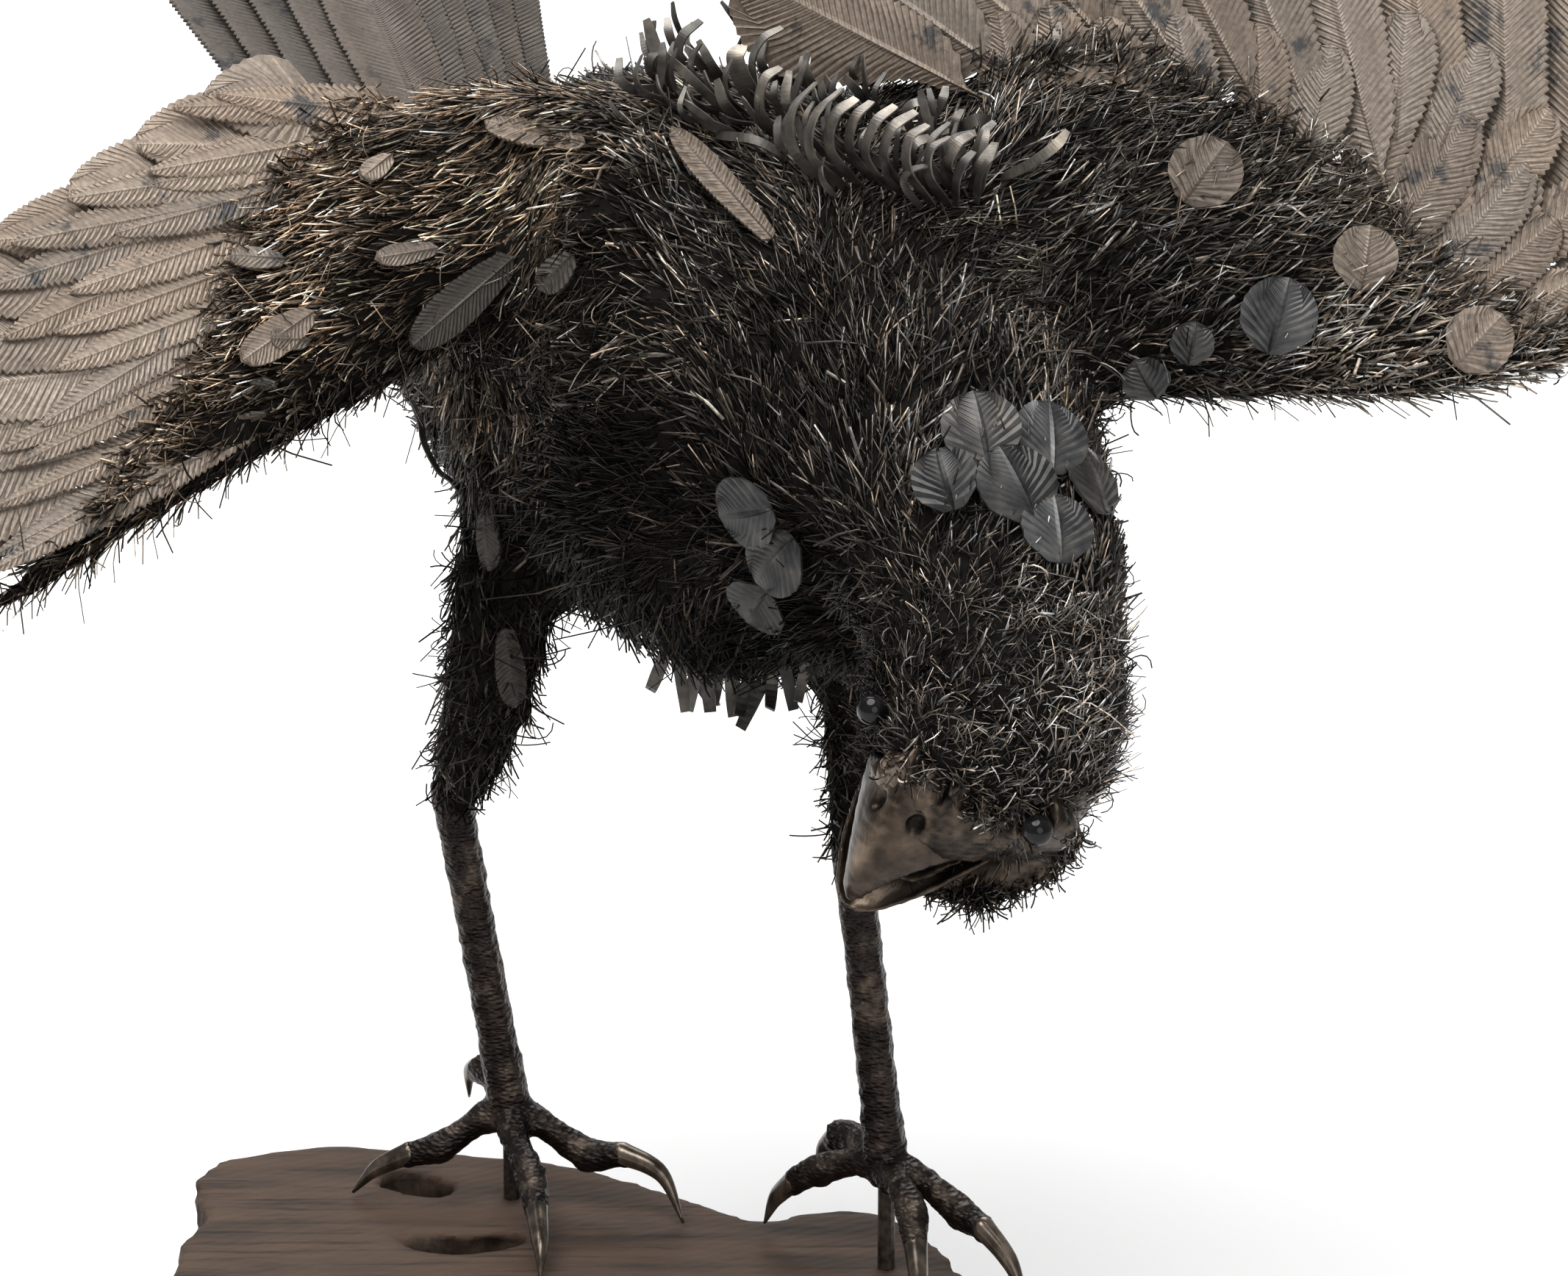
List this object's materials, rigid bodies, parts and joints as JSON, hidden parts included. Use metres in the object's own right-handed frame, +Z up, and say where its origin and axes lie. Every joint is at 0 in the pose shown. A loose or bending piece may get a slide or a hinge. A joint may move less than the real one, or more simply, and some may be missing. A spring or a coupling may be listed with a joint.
{
  "type": "falcon sculpture",
  "caption": "Dark metal sculpture of a falcon bending forward with spread wings, on a sawn live-edge wood slab.",
  "frame": {"origin": "middle of the wood slab's flat underside", "axes": "+Z up; the bird faces -Y with its left wing towards +X"},
  "size_m": [0.816, 0.6158, 0.5007],
  "materials": {
    "dark_wire": "blackened wire with brown and steel glints",
    "feather_sheet": "matte oxidised sheet, chased barbs",
    "cast_leg": "dark bronze-brown casting, rubbed on the ridges",
    "beak_bronze": "polished bronze-brown",
    "eye_black": "polished black bead",
    "peg_steel": "dark oxidised rod",
    "wood": "sawn, unvarnished, bark on the edge"
  },
  "bodies": {
    "root": {"wood_slab": "wood", "falcon_figure": "dark_wire", "right_leg": "cast_leg", "left_leg": "cast_leg", "right_peg": "peg_steel", "left_peg": "peg_steel", "beak": "beak_bronze", "right_eye": "eye_black", "left_eye": "eye_black", "right_wing_feather_01": "feather_sheet", "right_wing_feather_02": "feather_sheet", "right_wing_feather_03": "feather_sheet", "right_wing_feather_04": "feather_sheet", "right_wing_feather_05": "feather_sheet", "right_wing_feather_06": "feather_sheet", "right_wing_feather_07": "feather_sheet", "right_wing_feather_08": "feather_sheet", "right_wing_feather_09": "feather_sheet", "right_wing_feather_10": "feather_sheet", "right_wing_feather_11": "feather_sheet", "right_wing_feather_12": "feather_sheet", "right_wing_feather_13": "feather_sheet", "right_wing_feather_14": "feather_sheet", "right_wing_feather_15": "feather_sheet", "right_wing_feather_16": "feather_sheet", "left_wing_feather_01": "feather_sheet", "left_wing_feather_02": "feather_sheet", "left_wing_feather_03": "feather_sheet", "left_wing_feather_04": "feather_sheet", "left_wing_feather_05": "feather_sheet", "left_wing_feather_06": "feather_sheet", "left_wing_feather_07": "feather_sheet", "left_wing_feather_08": "feather_sheet", "left_wing_feather_09": "feather_sheet", "left_wing_feather_10": "feather_sheet", "left_wing_feather_11": "feather_sheet", "left_wing_feather_12": "feather_sheet", "left_wing_feather_13": "feather_sheet", "left_wing_feather_14": "feather_sheet", "left_wing_feather_15": "feather_sheet", "left_wing_feather_16": "feather_sheet", "tail_feather_01": "feather_sheet", "tail_feather_02": "feather_sheet", "tail_feather_03": "feather_sheet", "tail_feather_04": "feather_sheet", "tail_feather_05": "feather_sheet", "tail_feather_06": "feather_sheet", "tail_feather_07": "feather_sheet", "tail_feather_08": "feather_sheet", "tail_feather_09": "feather_sheet", "tail_feather_10": "feather_sheet"}
  },
  "joints": []
}
